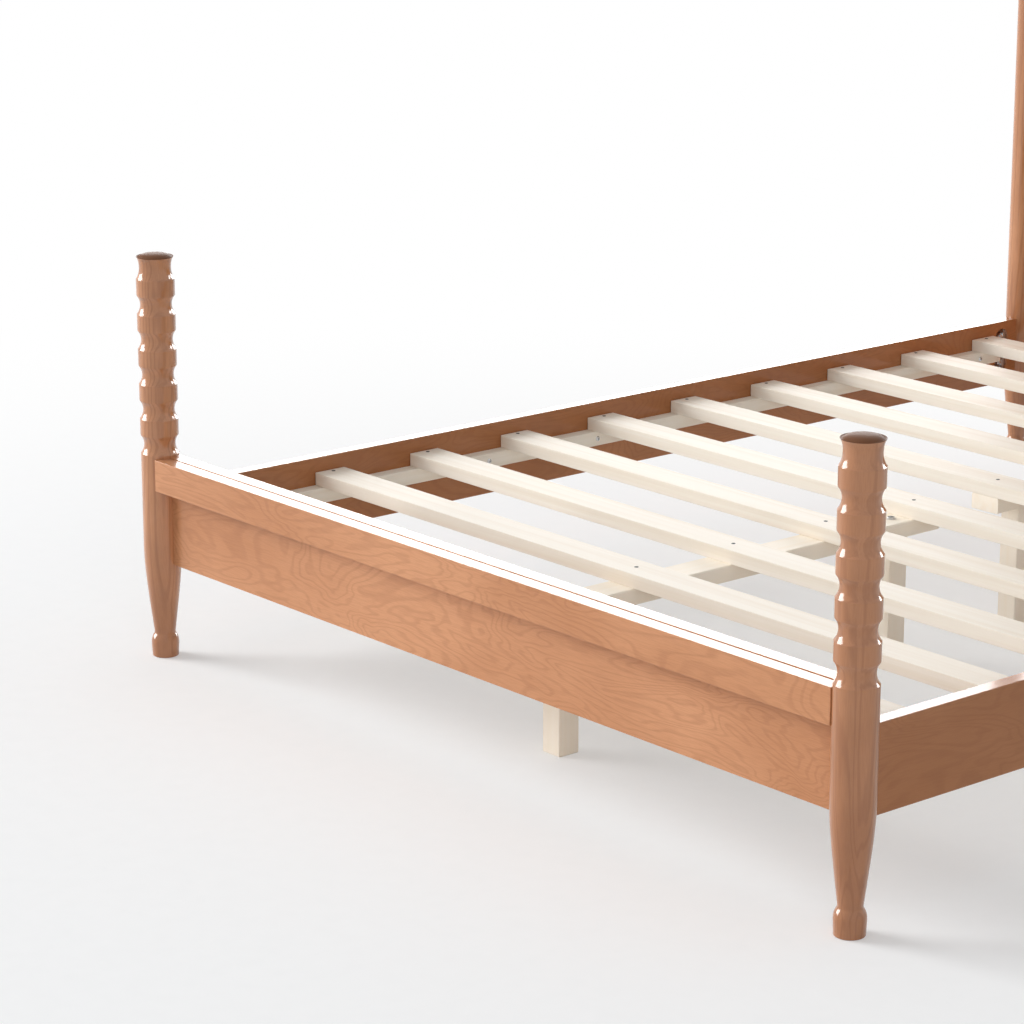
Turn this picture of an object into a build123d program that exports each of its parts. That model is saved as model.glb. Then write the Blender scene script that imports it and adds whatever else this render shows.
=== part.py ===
"""Queen size platform bed frame with turned, scalloped posts. Sizes are in millimetres.

The origin is on the floor under the middle of the frame. +X is to the right of someone who
stands at the foot and looks at the head, +Y runs from foot to head and +Z is up.
"""

import os
from math import copysign

from build123d import *

# Mattress that the frame is built round, and its play
MATTRESS_WIDTH = 1524.0
MATTRESS_LENGTH = 2032.0
MATTRESS_SIDE_GAP = 8.0
MATTRESS_END_GAP = 12.0

# Boards
RAIL_THICKNESS = 25.0
RAIL_HEIGHT = 126.0
RAIL_BOTTOM = 160.0
PANEL_THICKNESS = 25.5
TRIM_THICKNESS = 25.5
TRIM_HEIGHT = 53.0
HEADBOARD_TOP = 990.0
BOARD_BREAK = 1.2

# Turned posts, and the housings in them that take the ends of the boards
POST_RADIUS = 31.0
HOUSING_DEPTH = 10.0
HOUSING_GAP = 0.2

# Scalloped top of a post, above the board that it carries
TURNING_GAP = 4.4
COVE_COUNT = 5
COVE_LENGTH = 30.0
COVE_DEPTH = 5.4
BAND_LENGTH = 27.2
RIM_COVE_LENGTH = 36.0
RIM_COVE_PULL = 7.0
RIM_COVE_PULL_SHARES = (0.22, 0.67)
RIM_SETBACK = 1.3
DOME_SETBACK = 2.6
DOME_HEIGHT = 3.2
DOME_FLAT_RADIUS = 12.0

# Tapered lower end of a post and its foot
TAPER_TOP = 178.0
TAPER_KNEE_HEIGHT = 118.0
TAPER_KNEE_SETBACK = 3.2
NECK_RADIUS = 17.4
NECK_RISE = 12.5
COLLAR_RADIUS = 22.6
COLLAR_HEIGHT = 30.5
FOOT_RADIUS = 21.6
FOOT_BREAK = 2.0

# Slats and what carries them
SLAT_COUNT = 10
SLAT_WIDTH = 61.0
SLAT_THICKNESS = 22.5
SLAT_DROP = 24.5
SLAT_SETBACK = 98.5
SLAT_END_GAP = 1.2
SLAT_BREAK = 1.6
CLEAT_WIDTH = 23.0
CLEAT_HEIGHT = 26.0
CLEAT_BREAK = 1.0
BEAM_WIDTH = 58.0
BEAM_HEIGHT = 26.0
BEAM_BREAK = 2.0

# Centre legs, two under each beam, and the lag screws that hold them
LEG_SIZE = 39.0
LEG_BREAK = 1.5
LEG_FROM_SLAT = 21.9
LAG_RADIUS = 4.0
LAG_GAP = 0.15
LAG_GRIP = 54.0
LAG_HEAD_RADIUS = 7.0
LAG_HEAD_HEIGHT = 3.6

# Bolts that draw a rail against its post
ACCESS_RADIUS = 18.0
ACCESS_SKIN = 4.5
ACCESS_FROM_RAIL_END = 50.4
BED_BOLT_PITCH = 54.0
BED_BOLT_RISE = 3.5
BED_BOLT_RADIUS = 4.0
BED_BOLT_GAP = 0.75
BED_BOLT_POST_GAP = 0.1
BED_BOLT_IN_POST = 33.0
BED_BOLT_TAIL = 3.5
CRESCENT_RISE = 8.0
CRESCENT_GAP = 0.3
CRESCENT_SIDE_GAP = 1.0
CRESCENT_SLOT = 14.0
NUT_ACROSS_FLATS = 13.0
NUT_HEIGHT = 6.5
NUT_GAP = 0.1

# Tenons that join a panel to its posts
TENON_THICKNESS = 12.0
TENON_SHOULDER = 25.0
TENON_GAP = 0.2
TENON_BOLT_WALL = 1.7
FOOTBOARD_TENON_COUNT = 2
HEADBOARD_TENON_COUNT = 4

# Places that follow from the sizes above
SIDES = {"left": -1, "right": 1}
ENDS = {"foot": -1, "head": 1}
RAIL_TOP = RAIL_BOTTOM + RAIL_HEIGHT
BOARD_TOPS = {"foot": RAIL_TOP + TRIM_HEIGHT, "head": HEADBOARD_TOP}
POST_X = MATTRESS_WIDTH / 2 + MATTRESS_SIDE_GAP + RAIL_THICKNESS / 2
POST_Y = (MATTRESS_LENGTH + 2 * MATTRESS_END_GAP + PANEL_THICKNESS) / 2
SEAT_FROM_AXIS = POST_RADIUS - HOUSING_DEPTH
RAIL_INNER_X = POST_X - RAIL_THICKNESS / 2
RAIL_END_Y = POST_Y - SEAT_FROM_AXIS
PANEL_END_X = POST_X - SEAT_FROM_AXIS
SLAT_TOP = RAIL_TOP - SLAT_DROP
SLAT_BOTTOM = SLAT_TOP - SLAT_THICKNESS
SLAT_LENGTH = 2 * (RAIL_INNER_X - SLAT_END_GAP)
LAST_SLAT_Y = POST_Y - SLAT_SETBACK - SLAT_WIDTH / 2
SLAT_YS = [LAST_SLAT_Y * (2 * index / (SLAT_COUNT - 1) - 1) for index in range(SLAT_COUNT)]
SLATS_OVER_BEAMS = {"front": SLAT_YS[: SLAT_COUNT // 2], "rear": SLAT_YS[SLAT_COUNT // 2 :]}
LEG_FROM_SLAT_MIDDLE = SLAT_WIDTH / 2 + LEG_FROM_SLAT
LEGS_UNDER_BEAMS = {
    beam: [slat_ys[0] + LEG_FROM_SLAT_MIDDLE, slat_ys[-1] - LEG_FROM_SLAT_MIDDLE]
    for beam, slat_ys in SLATS_OVER_BEAMS.items()
}
LEG_YS = LEGS_UNDER_BEAMS["front"] + LEGS_UNDER_BEAMS["rear"]
BEAM_BOTTOM = SLAT_BOTTOM - BEAM_HEIGHT
CLEAT_LENGTH = 2 * LAST_SLAT_Y + SLAT_WIDTH
CLEAT_MIDDLE_X = RAIL_INNER_X - CLEAT_WIDTH / 2
BED_BOLT_MIDDLE_Z = RAIL_BOTTOM + RAIL_HEIGHT / 2 + BED_BOLT_RISE
BED_BOLT_ZS = (BED_BOLT_MIDDLE_Z - BED_BOLT_PITCH / 2, BED_BOLT_MIDDLE_Z + BED_BOLT_PITCH / 2)
ACCESS_Y = RAIL_END_Y - ACCESS_FROM_RAIL_END
CRESCENT_FACE_Y = ACCESS_Y + ACCESS_RADIUS - CRESCENT_RISE
CRESCENT_DEPTH = RAIL_THICKNESS - 2 * (ACCESS_SKIN + CRESCENT_SIDE_GAP)
TENON_COUNTS = {"foot": FOOTBOARD_TENON_COUNT, "head": HEADBOARD_TENON_COUNT}
TENON_TIP_FROM_AXIS = BED_BOLT_RADIUS + BED_BOLT_POST_GAP + TENON_BOLT_WALL + TENON_GAP
TENON_LENGTH = SEAT_FROM_AXIS - TENON_TIP_FROM_AXIS

os.makedirs("parts", exist_ok=True)


def on_plane(plane: Plane, points: list) -> list:
    """Turn points of the frame into points of a plane that they lie on."""
    return [plane.to_local_coords(Vector(*point)) for point in points]


def tenon_height(end: str) -> float:
    """Work out the height of each tenon of a panel from what its shoulders leave."""
    return (BOARD_TOPS[end] - RAIL_BOTTOM - TENON_SHOULDER) / TENON_COUNTS[end] - TENON_SHOULDER


def tenon_middles(end: str, x: float) -> list:
    """List the points at one x on the middle lines of the tenons of a panel."""
    y = ENDS[end] * POST_Y + PANEL_THICKNESS / 2
    lowest = RAIL_BOTTOM + TENON_SHOULDER + tenon_height(end) / 2
    pitch = tenon_height(end) + TENON_SHOULDER
    return [(x, y, lowest + index * pitch) for index in range(TENON_COUNTS[end])]


def bed_bolt_points(y: float) -> list:
    """List the points at a distance from the frame's middle on the axes of the bed bolts."""
    corners = [(side * POST_X, end * y) for side in SIDES.values() for end in ENDS.values()]
    return [(corner_x, corner_y, z) for corner_x, corner_y in corners for z in BED_BOLT_ZS]


def draw_post_outline(turning_start: float) -> None:
    """Draw half of a post's outline, from the middle of its foot to the top of its dome."""
    band_foot = (POST_RADIUS, TAPER_TOP)
    Polyline(
        (0, 0),
        (FOOT_RADIUS - FOOT_BREAK, 0),
        (FOOT_RADIUS, FOOT_BREAK),
        (COLLAR_RADIUS, COLLAR_HEIGHT),
        (NECK_RADIUS, COLLAR_HEIGHT + NECK_RISE),
        (POST_RADIUS - TAPER_KNEE_SETBACK, TAPER_KNEE_HEIGHT),
        band_foot,
    )
    for index in range(COVE_COUNT):
        cove_start = (POST_RADIUS, turning_start + index * (COVE_LENGTH + BAND_LENGTH))
        cove_pull = (POST_RADIUS - 2 * COVE_DEPTH, cove_start[1] + COVE_LENGTH / 2)
        Line(band_foot, cove_start)
        band_foot = (POST_RADIUS, cove_start[1] + COVE_LENGTH)
        Bezier(cove_start, cove_pull, band_foot)
    rim_cove_start = (POST_RADIUS, band_foot[1] + BAND_LENGTH)
    rim_cove_pulls = [
        (POST_RADIUS - RIM_COVE_PULL, rim_cove_start[1] + share * RIM_COVE_LENGTH)
        for share in RIM_COVE_PULL_SHARES
    ]
    rim = (POST_RADIUS - RIM_SETBACK, rim_cove_start[1] + RIM_COVE_LENGTH)
    Line(band_foot, rim_cove_start)
    Bezier(rim_cove_start, *rim_cove_pulls, rim)
    Polyline(
        rim,
        (rim[0] - DOME_SETBACK, rim[1]),
        (DOME_FLAT_RADIUS, rim[1] + DOME_HEIGHT),
        (0, rim[1] + DOME_HEIGHT),
        (0, 0),
    )


def make_posts(end: str) -> None:
    """Turn the two posts at one end and cut their seats for the rails, the panel and the trim."""
    y = ENDS[end] * POST_Y
    post_xs = [side * POST_X for side in SIDES.values()]
    panel_height = BOARD_TOPS[end] - RAIL_BOTTOM
    rail_seat = Plane(origin=(0, ENDS[end] * RAIL_END_Y, 0), x_dir=(1, 0, 0), z_dir=(0, -ENDS[end], 0))
    rail_middles = [(x, rail_seat.origin.Y, RAIL_BOTTOM + RAIL_HEIGHT / 2) for x in post_xs]
    bolt_points = [(x, rail_seat.origin.Y, z) for x in post_xs for z in BED_BOLT_ZS]
    with BuildPart() as posts:
        for x in post_xs:
            with BuildSketch(Plane(origin=(x, y, 0), x_dir=(1, 0, 0), z_dir=(0, -1, 0))):
                with BuildLine():
                    draw_post_outline(BOARD_TOPS[end] + TURNING_GAP)
                make_face()
            revolve(axis=Axis((x, y, 0), (0, 0, 1)))
        with BuildSketch(rail_seat):
            with Locations(*on_plane(rail_seat, rail_middles)):
                Rectangle(RAIL_THICKNESS + 2 * HOUSING_GAP, RAIL_HEIGHT + 2 * HOUSING_GAP)
        extrude(amount=POST_RADIUS, mode=Mode.SUBTRACT)
        with BuildSketch(rail_seat):
            with Locations(*on_plane(rail_seat, bolt_points)):
                Circle(BED_BOLT_RADIUS + BED_BOLT_POST_GAP)
        extrude(amount=-(BED_BOLT_IN_POST + BED_BOLT_POST_GAP), mode=Mode.SUBTRACT)
        for side in SIDES.values():
            seat_x = side * PANEL_END_X
            panel_seat = Plane(origin=(seat_x, y, 0), x_dir=(0, 1, 0), z_dir=(-side, 0, 0))
            panel_middle = (seat_x, y + PANEL_THICKNESS / 2, RAIL_BOTTOM + panel_height / 2)
            trim_middle = (seat_x, y - POST_RADIUS / 2, BOARD_TOPS[end] - TRIM_HEIGHT / 2)
            with BuildSketch(panel_seat):
                with Locations(*on_plane(panel_seat, [panel_middle])):
                    Rectangle(PANEL_THICKNESS + 2 * HOUSING_GAP, panel_height + 2 * HOUSING_GAP)
                with Locations(*on_plane(panel_seat, [trim_middle])):
                    Rectangle(POST_RADIUS, TRIM_HEIGHT + 2 * HOUSING_GAP)
            extrude(amount=POST_RADIUS, mode=Mode.SUBTRACT)
            with BuildSketch(panel_seat):
                with Locations(*on_plane(panel_seat, tenon_middles(end, seat_x))):
                    Rectangle(TENON_THICKNESS + 2 * TENON_GAP, tenon_height(end) + 2 * TENON_GAP)
            extrude(amount=-(TENON_LENGTH + TENON_GAP), mode=Mode.SUBTRACT)
    posts.part.label = f"{end}_posts"
    export_step(posts.part, f"parts/{end}_posts.step")


def make_panel(end: str) -> None:
    """Cut the wide board between two posts, on the +Y side of their axes, with its tenons."""
    y = ENDS[end] * POST_Y
    with BuildPart() as panel:
        with BuildSketch(Plane.XY.offset(RAIL_BOTTOM)):
            with Locations((0, y)):
                Rectangle(2 * PANEL_END_X, PANEL_THICKNESS, align=(Align.CENTER, Align.MIN))
        extrude(amount=BOARD_TOPS[end] - RAIL_BOTTOM)
        chamfer(panel.edges().filter_by(Axis.X), BOARD_BREAK)
        for side in SIDES.values():
            end_face = Plane(origin=(side * PANEL_END_X, y, 0), x_dir=(0, 1, 0), z_dir=(side, 0, 0))
            with BuildSketch(end_face):
                with Locations(*on_plane(end_face, tenon_middles(end, end_face.origin.X))):
                    Rectangle(TENON_THICKNESS, tenon_height(end))
            extrude(amount=TENON_LENGTH)
    panel.part.label = f"{end}board_panel"
    export_step(panel.part, f"parts/{end}board_panel.step")


def make_trim(end: str) -> None:
    """Cut the strip that covers the top of a panel on its -Y face, level with the panel's top."""
    with BuildPart() as trim:
        with BuildSketch(Plane.XY.offset(BOARD_TOPS[end] - TRIM_HEIGHT)):
            with Locations((0, ENDS[end] * POST_Y)):
                Rectangle(2 * PANEL_END_X, TRIM_THICKNESS, align=(Align.CENTER, Align.MAX))
        extrude(amount=TRIM_HEIGHT)
        chamfer(trim.edges().filter_by(Axis.X).group_by(Axis.Y)[0], BOARD_BREAK)
    trim.part.label = f"{end}board_trim"
    export_step(trim.part, f"parts/{end}board_trim.step")


def make_side_rail(side: str) -> None:
    """Cut a side rail, bored at its ends for the bolts and for the pockets of their nuts."""
    x = SIDES[side] * POST_X
    inner_face = Plane(
        origin=(SIDES[side] * RAIL_INNER_X, 0, 0), x_dir=(0, 1, 0), z_dir=(-SIDES[side], 0, 0)
    )
    access_points = [(inner_face.origin.X, end * ACCESS_Y, z) for end in ENDS.values() for z in BED_BOLT_ZS]
    with BuildPart() as rail:
        with BuildSketch(Plane.XY.offset(RAIL_BOTTOM)):
            with Locations((x, 0)):
                Rectangle(RAIL_THICKNESS, 2 * RAIL_END_Y)
        extrude(amount=RAIL_HEIGHT)
        chamfer(rail.edges().filter_by(Axis.Y), BOARD_BREAK)
        with BuildSketch(inner_face):
            with Locations(*on_plane(inner_face, access_points)):
                Circle(ACCESS_RADIUS)
        extrude(amount=ACCESS_SKIN - RAIL_THICKNESS, mode=Mode.SUBTRACT)
        for end in ENDS.values():
            end_face = Plane(origin=(x, end * RAIL_END_Y, 0), x_dir=(1, 0, 0), z_dir=(0, end, 0))
            with BuildSketch(end_face):
                with Locations(*on_plane(end_face, [(x, end_face.origin.Y, z) for z in BED_BOLT_ZS])):
                    Circle(BED_BOLT_RADIUS + BED_BOLT_GAP)
            extrude(amount=-ACCESS_FROM_RAIL_END, mode=Mode.SUBTRACT)
    rail.part.label = f"side_rail_{side}"
    export_step(rail.part, f"parts/side_rail_{side}.step")


def make_bed_bolts() -> None:
    """Turn the bolts that stand out of the posts, run through the rails' ends and hold their nuts."""
    tail_y = CRESCENT_FACE_Y - NUT_HEIGHT - BED_BOLT_TAIL
    point_y = RAIL_END_Y + BED_BOLT_IN_POST
    with BuildPart() as bolts:
        with Locations(*bed_bolt_points((tail_y + point_y) / 2)):
            Cylinder(BED_BOLT_RADIUS, point_y - tail_y, rotation=(90, 0, 0))
    bolts.part.label = "bed_bolts"
    export_step(bolts.part, "parts/bed_bolts.step")


def make_crescent_washers() -> None:
    """Cut the slotted half moon washers that fill the end of each nut's pocket towards the post."""
    planes = [
        Plane(origin=point, x_dir=(0, copysign(1, point[1]), 0), z_dir=(1, 0, 0))
        for point in bed_bolt_points(ACCESS_Y)
    ]
    with BuildPart() as washers:
        with BuildSketch(*planes):
            Circle(ACCESS_RADIUS - CRESCENT_GAP)
            with Locations((ACCESS_RADIUS - CRESCENT_RISE, 0)):
                Rectangle(
                    2 * ACCESS_RADIUS,
                    2 * ACCESS_RADIUS,
                    align=(Align.MAX, Align.CENTER),
                    mode=Mode.SUBTRACT,
                )
        extrude(amount=CRESCENT_DEPTH / 2, both=True)
        with Locations(*bed_bolt_points(ACCESS_Y)):
            Box(2 * (BED_BOLT_RADIUS + BED_BOLT_GAP), 2 * ACCESS_RADIUS, CRESCENT_SLOT, mode=Mode.SUBTRACT)
    washers.part.label = "crescent_washers"
    export_step(washers.part, "parts/crescent_washers.step")


def make_bed_nuts() -> None:
    """Cut the hexagon nuts that bear on the crescent washers."""
    planes = [
        Plane(origin=point, x_dir=(1, 0, 0), z_dir=(0, 1, 0))
        for point in bed_bolt_points(CRESCENT_FACE_Y - NUT_HEIGHT / 2)
    ]
    with BuildPart() as nuts:
        with BuildSketch(*planes):
            RegularPolygon(NUT_ACROSS_FLATS / 2, side_count=6, major_radius=False)
            Circle(BED_BOLT_RADIUS + NUT_GAP, mode=Mode.SUBTRACT)
        extrude(amount=NUT_HEIGHT / 2, both=True)
    nuts.part.label = "bed_nuts"
    export_step(nuts.part, "parts/bed_nuts.step")


def make_cleat(side: str) -> None:
    """Cut the strip along a rail's inner face that the slats' ends rest on."""
    with BuildPart() as cleat:
        with BuildSketch(Plane.XY.offset(SLAT_BOTTOM)):
            with Locations((SIDES[side] * CLEAT_MIDDLE_X, 0)):
                Rectangle(CLEAT_WIDTH, CLEAT_LENGTH)
        extrude(amount=-CLEAT_HEIGHT)
        chamfer(cleat.edges().filter_by(Axis.Y).sort_by_distance((0, 0, SLAT_BOTTOM))[:2], CLEAT_BREAK)
    cleat.part.label = f"cleat_{side}"
    export_step(cleat.part, f"parts/cleat_{side}.step")


def make_slat(number: int, y: float) -> None:
    """Cut one slat, which runs across the frame from cleat to cleat."""
    with BuildPart() as slat:
        with BuildSketch(Plane.XY.offset(SLAT_BOTTOM)):
            with Locations((0, y)):
                Rectangle(SLAT_LENGTH, SLAT_WIDTH)
        extrude(amount=SLAT_THICKNESS)
        chamfer(slat.edges().filter_by(Axis.X), SLAT_BREAK)
    slat.part.label = f"slat_{number}"
    export_step(slat.part, f"parts/slat_{number}.step")


def make_centre_beam(place: str) -> None:
    """Cut one length of the centre beam, drilled for the lag screws of its legs."""
    slat_ys = SLATS_OVER_BEAMS[place]
    with BuildPart() as beam:
        with BuildSketch(Plane.XY.offset(SLAT_BOTTOM)):
            with Locations((0, (slat_ys[0] + slat_ys[-1]) / 2)):
                Rectangle(BEAM_WIDTH, slat_ys[-1] - slat_ys[0] + SLAT_WIDTH)
        extrude(amount=-BEAM_HEIGHT)
        chamfer(beam.edges().filter_by(Axis.Y), BEAM_BREAK)
        with Locations(*[(0, leg_y, SLAT_BOTTOM) for leg_y in LEGS_UNDER_BEAMS[place]]):
            Hole(LAG_RADIUS + LAG_GAP, BEAM_HEIGHT)
    beam.part.label = f"centre_beam_{place}"
    export_step(beam.part, f"parts/centre_beam_{place}.step")


def make_centre_leg(number: int, y: float) -> None:
    """Cut one square leg, bored at its top for its lag screw."""
    with BuildPart() as leg:
        with BuildSketch(Plane.XY):
            with Locations((0, y)):
                Rectangle(LEG_SIZE, LEG_SIZE)
        extrude(amount=BEAM_BOTTOM)
        chamfer(leg.edges().filter_by(Axis.Z), LEG_BREAK)
        chamfer(leg.faces().sort_by(Axis.Z)[0].edges(), LEG_BREAK)
        with Locations((0, y, BEAM_BOTTOM)):
            Hole(LAG_RADIUS + LAG_GAP, LAG_GRIP + LAG_GAP)
    leg.part.label = f"centre_leg_{number}"
    export_step(leg.part, f"parts/centre_leg_{number}.step")


def make_lag_screws() -> None:
    """Turn the screws that run down through the beams into the centre legs."""
    with BuildPart() as screws:
        with Locations(*[(0, y, SLAT_BOTTOM) for y in LEG_YS]):
            Cylinder(LAG_RADIUS, BEAM_HEIGHT + LAG_GRIP, align=(Align.CENTER, Align.CENTER, Align.MAX))
            Cylinder(LAG_HEAD_RADIUS, LAG_HEAD_HEIGHT, align=(Align.CENTER, Align.CENTER, Align.MIN))
    screws.part.label = "lag_screws"
    export_step(screws.part, "parts/lag_screws.step")


for end_name in ENDS:
    make_posts(end_name)
    make_panel(end_name)
    make_trim(end_name)
for side_name in SIDES:
    make_side_rail(side_name)
    make_cleat(side_name)
for slat_number, slat_middle_y in enumerate(SLAT_YS, start=1):
    make_slat(slat_number, slat_middle_y)
for beam_place in SLATS_OVER_BEAMS:
    make_centre_beam(beam_place)
for leg_number, leg_middle_y in enumerate(LEG_YS, start=1):
    make_centre_leg(leg_number, leg_middle_y)
make_lag_screws()
make_bed_bolts()
make_crescent_washers()
make_bed_nuts()
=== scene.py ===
"""Finish, light and camera for a platform bed with turned, scalloped posts.

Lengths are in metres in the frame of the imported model: +X to the right of someone who stands at
the foot and looks at the head, +Y from foot to head and +Z up.
"""

import logging
import math
from dataclasses import dataclass
from enum import Enum

import bmesh
import bpy
from mathutils import Matrix, Vector


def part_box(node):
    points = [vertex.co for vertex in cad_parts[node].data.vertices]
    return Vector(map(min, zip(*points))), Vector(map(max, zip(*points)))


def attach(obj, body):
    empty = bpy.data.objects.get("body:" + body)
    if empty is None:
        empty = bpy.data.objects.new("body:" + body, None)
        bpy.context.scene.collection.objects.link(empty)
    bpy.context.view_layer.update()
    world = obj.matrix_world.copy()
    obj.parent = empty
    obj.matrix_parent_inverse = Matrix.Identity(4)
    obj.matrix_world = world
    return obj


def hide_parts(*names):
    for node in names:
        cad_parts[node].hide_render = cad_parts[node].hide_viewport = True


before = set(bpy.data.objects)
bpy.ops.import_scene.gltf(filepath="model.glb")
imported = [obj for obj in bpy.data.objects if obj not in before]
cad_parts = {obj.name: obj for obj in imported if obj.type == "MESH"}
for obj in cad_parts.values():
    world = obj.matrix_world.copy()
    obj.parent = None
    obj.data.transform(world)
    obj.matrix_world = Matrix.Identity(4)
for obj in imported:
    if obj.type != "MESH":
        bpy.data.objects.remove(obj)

MM = 0.001
BODY = "root"
WHITE = (1, 1, 1, 1)
log = logging.getLogger("platform_bed")


class Grain(Enum):
    """The axis that a board's grain runs along."""

    ALONG_X = 0
    ALONG_Y = 1
    ALONG_Z = 2


class End(Enum):
    """The two ends of the bed, as the CAD nodes name them."""

    FOOT = "foot"
    HEAD = "head"


class NodeTree:
    """A pen that writes the nodes of a material or of the world."""

    MIX_INPUTS = (0, 6, 7)
    MIX_OUTPUT = 2

    def __init__(self, name: str, store: bpy.types.bpy_prop_collection | None = None) -> None:
        """Start a thing that has nodes, and clear them.

        Args:
            name: name of the new thing.
            store: Blender's collection that it goes into, by default the materials.
        """
        self.owner = (bpy.data.materials if store is None else store).new(name)
        self.owner.use_nodes = True
        self.tree = self.owner.node_tree
        self.tree.nodes.clear()

    def add(self, kind: str, inputs: dict | None = None, **settings: object) -> bpy.types.Node:
        """Add one node.

        Args:
            kind: Blender's type name, without the leading ShaderNode.
            inputs: values or output sockets for the named or numbered inputs.
            settings: attributes of the node, such as operation.

        Returns:
            The new node.
        """
        node = self.tree.nodes.new("ShaderNode" + kind)
        for setting, value in settings.items():
            setattr(node, setting, value)
        for socket, value in (inputs or {}).items():
            if isinstance(value, bpy.types.NodeSocket):
                self.tree.links.new(value, node.inputs[socket])
            else:
                node.inputs[socket].default_value = value
        return node

    def math(self, operation: str, *values: object) -> bpy.types.NodeSocket:
        """Add a Math node and return its result."""
        return self.add("Math", dict(enumerate(values)), operation=operation).outputs[0]

    def mix(self, factor: object, first: object, second: object,
            blend: str = "MIX") -> bpy.types.NodeSocket:
        """Mix two colours.

        Args:
            factor: share of the second colour, as a number or a socket.
            first: first colour or socket.
            second: second colour or socket.
            blend: Blender's name of the blend mode.

        Returns:
            The mixed colour's socket.
        """
        inputs = dict(zip(self.MIX_INPUTS, (factor, first, second)))
        node = self.add("Mix", inputs, data_type="RGBA", blend_type=blend)
        return node.outputs[self.MIX_OUTPUT]

    def ramp(self, factor: bpy.types.NodeSocket, *stops: tuple[float, float]) -> bpy.types.NodeSocket:
        """Map a value through a ramp of greys.

        Args:
            factor: the value.
            stops: position and brightness of each stop, in rising order.

        Returns:
            The grey's socket.
        """
        node = self.add("ValToRGB", {"Fac": factor})
        for element, (position, level) in zip(node.color_ramp.elements, stops, strict=True):
            element.position = position
            element.color = (level, level, level, 1)
        return node.outputs[0]

    def waves(self, value: bpy.types.NodeSocket, count: float) -> bpy.types.NodeSocket:
        """Turn a value between 0 and 1 into a count of waves between 0 and 1."""
        wave = self.math("SINE", self.math("MULTIPLY", value, count * math.tau))
        return self.math("MULTIPLY_ADD", wave, 0.5, 0.5)

    def object_points(self, scale: tuple = (1, 1, 1), shift: tuple = (0, 0, 0)) -> bpy.types.NodeSocket:
        """Read Object coordinates through a Mapping that shifts and stretches them."""
        coordinates = self.add("TexCoord").outputs["Object"]
        return self.add("Mapping", {"Vector": coordinates, "Location": shift, "Scale": scale}).outputs[0]

    def noise(self, points: bpy.types.NodeSocket, scale: float, detail: float, roughness: float = 0.5,
              distortion: float = 0.0) -> bpy.types.NodeSocket:
        """Add a Noise texture.

        Args:
            points: coordinates that it is read at.
            scale: number of blobs in a metre.
            detail: number of finer layers.
            roughness: weight of the finer layers.
            distortion: how far the blobs swirl.

        Returns:
            The value's socket, between 0 and 1.
        """
        settings = {"Scale": scale, "Detail": detail, "Roughness": roughness, "Distortion": distortion}
        return self.add("TexNoise", {"Vector": points, **settings}).outputs["Fac"]

    def bump(self, height: bpy.types.NodeSocket, strength: float, depth: float) -> bpy.types.NodeSocket:
        """Add a Bump node and return its normal."""
        relief = {"Height": height, "Strength": strength, "Distance": depth}
        return self.add("Bump", relief).outputs[0]

    def finish(self, shader: bpy.types.NodeSocket) -> bpy.types.Material:
        """Link the last shader to the output and return the material."""
        self.add("OutputMaterial", {"Surface": shader})
        return self.owner

    def seen_by_eye(self) -> bpy.types.NodeSocket:
        """Tell what the camera sees from what only spreads light.

        Returns:
            A socket with 1 for what is seen, straight or in a glossy or clear surface, and else 0.
        """
        path = self.add("LightPath")
        straight = self.math("MAXIMUM", path.outputs["Is Camera Ray"], path.outputs["Is Glossy Ray"])
        return self.math("MAXIMUM", straight, path.outputs["Is Transmission Ray"])


def stretched(grain: Grain, along: float, across: float) -> tuple:
    """Give a Mapping scale that differs along the grain from across it.

    Args:
        grain: axis that the grain runs along.
        along: scale along the grain.
        across: scale across it.

    Returns:
        The scale for X, Y and Z.
    """
    scale = [across] * 3
    scale[grain.value] = along
    return tuple(scale)


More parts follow.
